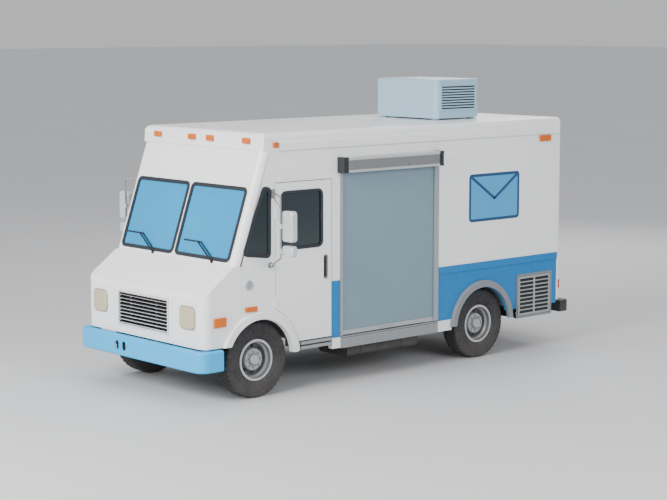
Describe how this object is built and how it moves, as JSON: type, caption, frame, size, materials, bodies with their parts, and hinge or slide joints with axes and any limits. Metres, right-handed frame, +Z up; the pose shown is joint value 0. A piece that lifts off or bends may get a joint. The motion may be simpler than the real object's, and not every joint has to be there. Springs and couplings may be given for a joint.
{
  "type": "walk-in delivery van",
  "caption": "Box-bodied walk-in delivery van with a sloping nose, a divided windscreen, hinged cab doors, a side roller shutter, rear double doors and a roof-top cooling unit.",
  "frame": {"origin": "on the ground, under the middle of the overall box", "axes": "+Z up, nose towards -Y, driver's side (the vehicle's left) towards +X"},
  "size_m": [3.07, 5.79, 3.2589],
  "materials": {
    "white_paint": "satin",
    "blue_paint": "satin",
    "sky_paint": "gloss",
    "shutter_paint": "satin",
    "bright_metal": "brushed",
    "chassis_paint": "matte",
    "spring_steel": "dull",
    "cast_iron": "rough",
    "wheel_steel": "satin",
    "tyre": "matte",
    "screen_glass": "gloss",
    "door_glass": "gloss",
    "rubber": "matte",
    "floor_sheet": "matte",
    "grille_trim": "gloss",
    "cream_lens": "gloss",
    "amber_lens": "gloss",
    "grey_plastic": "matte",
    "black_plastic": "matte",
    "unit_paint": "satin",
    "mirror_shell": "gloss",
    "seat_cover": "woven"
  },
  "bodies": {
    "van_body": {"front_axle": "cast_iron", "rear_axle": "cast_iron", "leaf_springs": "spring_steel", "ladder_frame": "chassis_paint", "engine": "cast_iron", "radiator": "bright_metal", "exhaust": "spring_steel", "fuel_tank": "chassis_paint", "floor": "floor_sheet", "nose": "white_paint", "grille": "grille_trim", "headlights": "cream_lens", "front_bumper": "sky_paint", "rear_bumper": "black_plastic", "screen_frame": "white_paint", "fixed_glass": "screen_glass", "window_rubbers": "rubber", "side_walls": "white_paint", "lower_panels": "blue_paint", "roof": "white_paint", "rear_frame": "white_paint", "shutter_guides": "bright_metal", "shutter_case": "bright_metal", "wheel_flares": "grey_plastic", "sills": "bright_metal", "lamps": "amber_lens", "vent_bay": "grey_plastic", "roof_unit": "unit_paint", "mirror_arms": "black_plastic", "dashboard": "black_plastic", "seat_frame": "chassis_paint", "seat_pads": "seat_cover"},
    "knuckle_left_body": {"knuckle_left": "cast_iron"},
    "knuckle_right_body": {"knuckle_right": "cast_iron"},
    "steering": {"steering_wheel": "black_plastic"},
    "pedal": {"brake_pedal": "spring_steel"},
    "drive_shaft": {"propeller_shaft": "chassis_paint"},
    "shutter": {"shutter_curtain": "shutter_paint", "shutter_bottom_bar": "bright_metal"},
    "roller": {"shutter_roller": "shutter_paint"},
    "vent_lid": {"vent_door": "grey_plastic"},
    "filler_cap": {"fuel_cap": "bright_metal"},
    "cab_door_left_body": {"cab_door_left": "white_paint", "cab_glass_left": "door_glass"},
    "rear_door_left_body": {"rear_door_left": "white_paint"},
    "wiper_left_body": {"wiper_left": "black_plastic"},
    "mirror_left_body": {"mirror_left": "mirror_shell"},
    "front_wheel_left": {"tyre_front_left": "tyre", "wheel_front_left": "wheel_steel"},
    "rear_wheel_left": {"tyre_rear_left": "tyre", "wheel_rear_left": "wheel_steel"},
    "cab_door_right_body": {"cab_door_right": "white_paint", "cab_glass_right": "door_glass"},
    "rear_door_right_body": {"rear_door_right": "white_paint"},
    "wiper_right_body": {"wiper_right": "black_plastic"},
    "mirror_right_body": {"mirror_right": "mirror_shell"},
    "front_wheel_right": {"tyre_front_right": "tyre", "wheel_front_right": "wheel_steel"},
    "rear_wheel_right": {"tyre_rear_right": "tyre", "wheel_rear_right": "wheel_steel"}
  },
  "joints": [
    {"name": "steer_left", "type": "hinge", "parent": "van_body", "child": "knuckle_left_body", "pos_m": [0.775, -2.075, 0.403], "axis": [0, 0, 1], "range_deg": [-32, 32]},
    {"name": "steer_right", "type": "hinge", "parent": "van_body", "child": "knuckle_right_body", "pos_m": [-0.775, -2.075, 0.403], "axis": [0, 0, 1], "range_deg": [-32, 32]},
    {"name": "steering_turn", "type": "hinge", "parent": "van_body", "child": "steering", "pos_m": [0.48, -1.835, 1.19], "axis": [0, 0.5, 0.866], "range_deg": [-450, 450]},
    {"name": "front_left_spin", "type": "hinge", "parent": "knuckle_left_body", "child": "front_wheel_left", "pos_m": [0.905, -2.075, 0.403], "axis": [1, 0, 0], "continuous": true},
    {"name": "front_right_spin", "type": "hinge", "parent": "knuckle_right_body", "child": "front_wheel_right", "pos_m": [-0.905, -2.075, 0.403], "axis": [1, 0, 0], "continuous": true},
    {"name": "rear_left_spin", "type": "hinge", "parent": "van_body", "child": "rear_wheel_left", "pos_m": [0.905, 1.303, 0.403], "axis": [1, 0, 0], "continuous": true},
    {"name": "rear_right_spin", "type": "hinge", "parent": "van_body", "child": "rear_wheel_right", "pos_m": [-0.905, 1.303, 0.403], "axis": [1, 0, 0], "continuous": true},
    {"name": "drive_shaft_spin", "type": "hinge", "parent": "van_body", "child": "drive_shaft", "pos_m": [0, -1.4745, 0.44], "axis": [0, 0.9999, -0.0142], "continuous": true},
    {"name": "cab_door_left_swing", "type": "hinge", "parent": "van_body", "child": "cab_door_left_body", "pos_m": [1.058, -1.851, 1.4], "axis": [0, 0, -1], "range_deg": [0, 75]},
    {"name": "rear_door_left_swing", "type": "hinge", "parent": "van_body", "child": "rear_door_left_body", "pos_m": [0.964, 2.663, 1.5], "axis": [0, 0, -1], "range_deg": [0, 90]},
    {"name": "mirror_left_turn", "type": "hinge", "parent": "van_body", "child": "mirror_left_body", "pos_m": [1.375, -2.05, 1.85], "axis": [0, 0, 1], "range_deg": [-35, 35]},
    {"name": "cab_door_right_swing", "type": "hinge", "parent": "van_body", "child": "cab_door_right_body", "pos_m": [-1.058, -1.851, 1.4], "axis": [0, 0, 1], "range_deg": [0, 75]},
    {"name": "rear_door_right_swing", "type": "hinge", "parent": "van_body", "child": "rear_door_right_body", "pos_m": [-0.964, 2.663, 1.5], "axis": [0, 0, 1], "range_deg": [0, 90]},
    {"name": "mirror_right_turn", "type": "hinge", "parent": "van_body", "child": "mirror_right_body", "pos_m": [-1.375, -2.05, 1.85], "axis": [0, 0, 1], "range_deg": [-35, 35]},
    {"name": "wiper_left_sweep", "type": "hinge", "parent": "van_body", "child": "wiper_left_body", "pos_m": [0.686, -2.40903, 1.446], "axis": [0, 0.9453, -0.3261], "range_deg": [0, 78]},
    {"name": "wiper_right_sweep", "type": "hinge", "parent": "van_body", "child": "wiper_right_body", "pos_m": [-0.356, -2.40903, 1.446], "axis": [0, 0.9453, -0.3261], "range_deg": [0, 78]},
    {"name": "shutter_lift", "type": "slide", "parent": "van_body", "child": "shutter", "axis": [0, 0, 1], "range_m": [0, 1.65], "deforming": ["shutter_curtain"]},
    {"name": "roller_turn", "type": "hinge", "parent": "van_body", "child": "roller", "pos_m": [1.104, -0.215, 2.405], "axis": [0, 1, 0], "range_deg": [0, 2060]},
    {"name": "vent_door_swing", "type": "hinge", "parent": "van_body", "child": "vent_lid", "pos_m": [1.064, 1.929, 0.66], "axis": [0, 0, -1], "range_deg": [0, 100]},
    {"name": "fuel_cap_turn", "type": "hinge", "parent": "van_body", "child": "filler_cap", "pos_m": [1.055, -2.211, 1.217], "axis": [1, 0, 0], "range_deg": [0, 90]},
    {"name": "brake_press", "type": "hinge", "parent": "van_body", "child": "pedal", "pos_m": [0.4, -2.135, 0.98], "axis": [-1, 0, 0], "range_deg": [0, 18], "stiffness_Nm_per_rad": 25, "springref_deg": -8.59}
  ],
  "couplings": [
    {"joint": "steer_right", "follows": "steer_left", "ratio": 1},
    {"joint": "steering_turn", "follows": "steer_left", "ratio": 14},
    {"joint": "drive_shaft_spin", "follows": "rear_left_spin", "ratio": 4.1},
    {"joint": "wiper_right_sweep", "follows": "wiper_left_sweep", "ratio": 1},
    {"joint": "roller_turn", "follows": "shutter_lift", "rad_per_m": 21.739}
  ]
}
